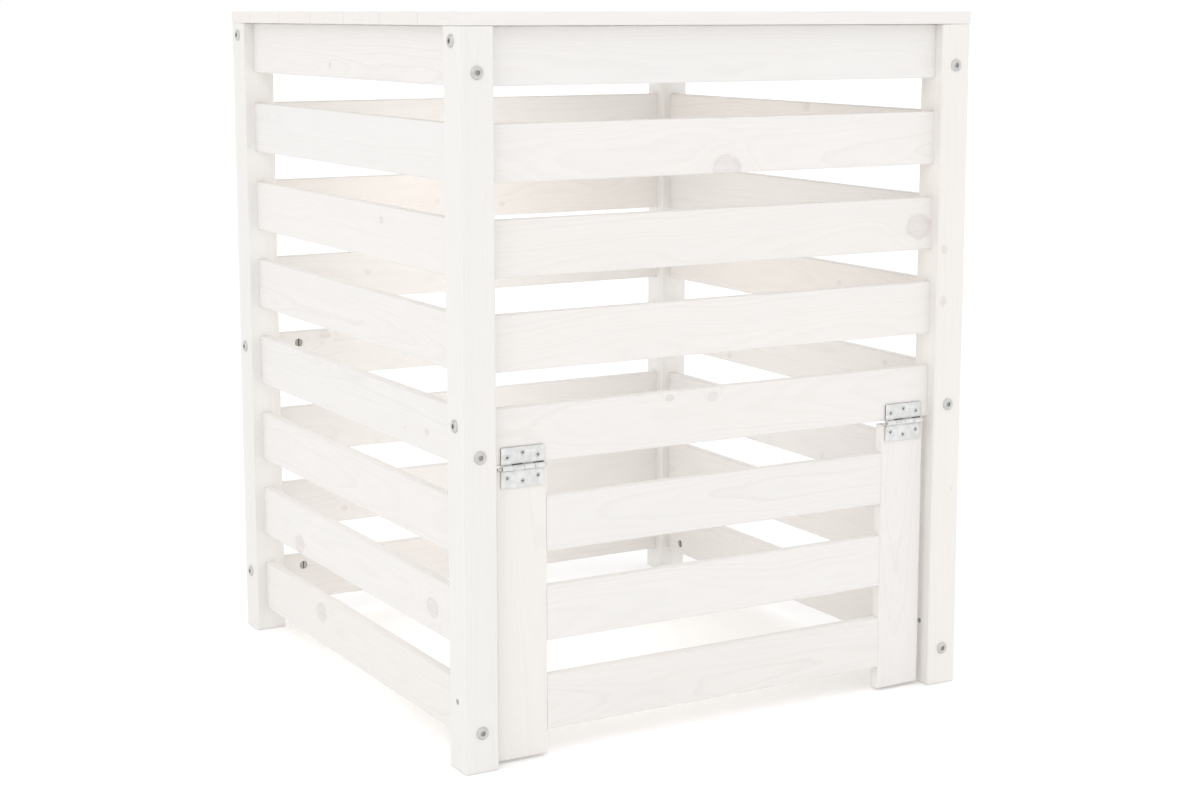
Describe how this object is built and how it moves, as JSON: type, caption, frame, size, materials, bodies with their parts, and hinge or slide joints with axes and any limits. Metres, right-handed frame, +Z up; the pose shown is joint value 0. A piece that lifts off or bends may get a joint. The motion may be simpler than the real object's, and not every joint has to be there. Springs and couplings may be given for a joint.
{
  "type": "slatted wooden compost bin",
  "caption": "Slatted wooden garden compost bin with corner posts, a boarded lift-off lid and a hinged flap door low in the front wall for taking compost out.",
  "frame": {"origin": "on the ground at the centre of the footprint (bottom centre of the bounding box)", "axes": "+Z up; the front, with the door flap, faces -Y; +X is to the right of someone who faces the front"},
  "size_m": [0.635, 0.635, 0.775],
  "materials": {
    "post_pine": "white-washed softwood, matt",
    "slat_pine": "white-washed softwood, matt, faint grain and knots",
    "lid_pine": "white-washed softwood, matt",
    "hinge_zinc": "zinc-plated pressed steel, satin",
    "pin_zinc": "zinc-plated steel wire"
  },
  "bodies": {
    "bin": {"post_front_left": "post_pine", "post_front_right": "post_pine", "post_rear_left": "post_pine", "post_rear_right": "post_pine", "slat_left_1": "slat_pine", "slat_left_2": "slat_pine", "slat_left_3": "slat_pine", "slat_left_4": "slat_pine", "slat_left_5": "slat_pine", "slat_left_6": "slat_pine", "slat_left_7": "slat_pine", "slat_left_8": "slat_pine", "slat_right_1": "slat_pine", "slat_right_2": "slat_pine", "slat_right_3": "slat_pine", "slat_right_4": "slat_pine", "slat_right_5": "slat_pine", "slat_right_6": "slat_pine", "slat_right_7": "slat_pine", "slat_right_8": "slat_pine", "slat_rear_1": "slat_pine", "slat_rear_2": "slat_pine", "slat_rear_3": "slat_pine", "slat_rear_4": "slat_pine", "slat_rear_5": "slat_pine", "slat_rear_6": "slat_pine", "slat_rear_7": "slat_pine", "slat_rear_8": "slat_pine", "slat_front_1": "slat_pine", "slat_front_2": "slat_pine", "slat_front_3": "slat_pine", "slat_front_4": "slat_pine", "slat_front_5": "slat_pine", "hinge_left_upper_leaf": "hinge_zinc", "hinge_right_upper_leaf": "hinge_zinc", "hinge_left_pin": "pin_zinc", "hinge_right_pin": "pin_zinc"},
    "door": {"door_stile_left": "slat_pine", "door_stile_right": "slat_pine", "door_slat_1": "slat_pine", "door_slat_2": "slat_pine", "door_slat_3": "slat_pine", "hinge_left_lower_leaf": "hinge_zinc", "hinge_right_lower_leaf": "hinge_zinc"},
    "lid": {"lid_board_1": "lid_pine", "lid_board_2": "lid_pine", "lid_board_3": "lid_pine", "lid_board_4": "lid_pine", "lid_board_5": "lid_pine", "lid_board_6": "lid_pine", "lid_board_7": "lid_pine", "lid_batten_left": "lid_pine", "lid_batten_right": "lid_pine"}
  },
  "joints": [
    {"name": "door_hinge", "type": "hinge", "parent": "bin", "child": "door", "pos_m": [0, -0.3078, 0.314], "axis": [-1, 0, 0], "range_deg": [0, 175]},
    {"name": "lid_lift", "type": "slide", "parent": "bin", "child": "lid", "axis": [0, 0, 1], "range_m": [0, 0.2]}
  ]
}
